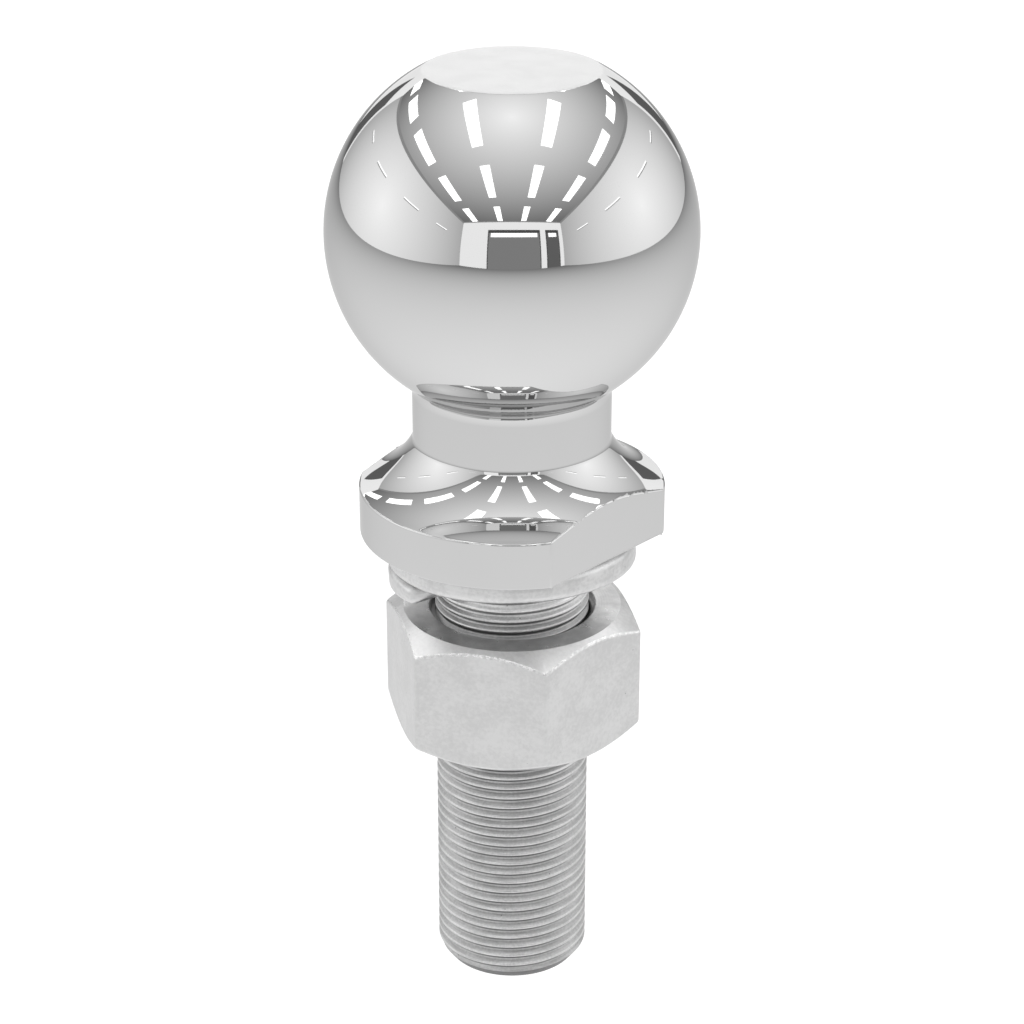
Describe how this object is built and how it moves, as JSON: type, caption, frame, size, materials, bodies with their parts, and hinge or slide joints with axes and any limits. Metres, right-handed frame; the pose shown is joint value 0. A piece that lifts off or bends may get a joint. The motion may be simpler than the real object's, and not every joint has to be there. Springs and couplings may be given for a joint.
{
  "type": "gooseneck hitch ball",
  "caption": "Chromed gooseneck hitch ball with a flanged neck, a threaded shank, a spring lock washer and a hex nut.",
  "frame": {"origin": "on the stud's axis, in the plane of the flange's underside, the face that is pulled down on the hitch", "axes": "+Z along the stud from the shank to the ball; -Y is the front; +X is to the right seen from the front"},
  "size_m": [0.0588, 0.0588, 0.1561],
  "materials": {
    "chromed_steel": "mirror chrome plate over polished forged steel",
    "zinc_plated_steel": "satin zinc plate, lightly mottled and pitted; the nut has turned bearing faces"
  },
  "bodies": {
    "ball_stud": {"ball_stud": "chromed_steel"},
    "lock_washer": {"lock_washer": "zinc_plated_steel"},
    "hex_nut": {"hex_nut": "zinc_plated_steel"}
  },
  "joints": [
    {"name": "nut_travel", "type": "slide", "parent": "ball_stud", "child": "lock_washer", "axis": [0, 0, 1], "range_m": [-0.06, 0]},
    {"name": "nut_spin", "type": "hinge", "parent": "lock_washer", "child": "hex_nut", "pos_m": [0, 0, -0.025], "axis": [0, 0, 1], "range_deg": [-11880, 0]}
  ],
  "couplings": [
    {"joint": "nut_travel", "follows": "nut_spin", "m_per_rad": 0.00028875}
  ]
}
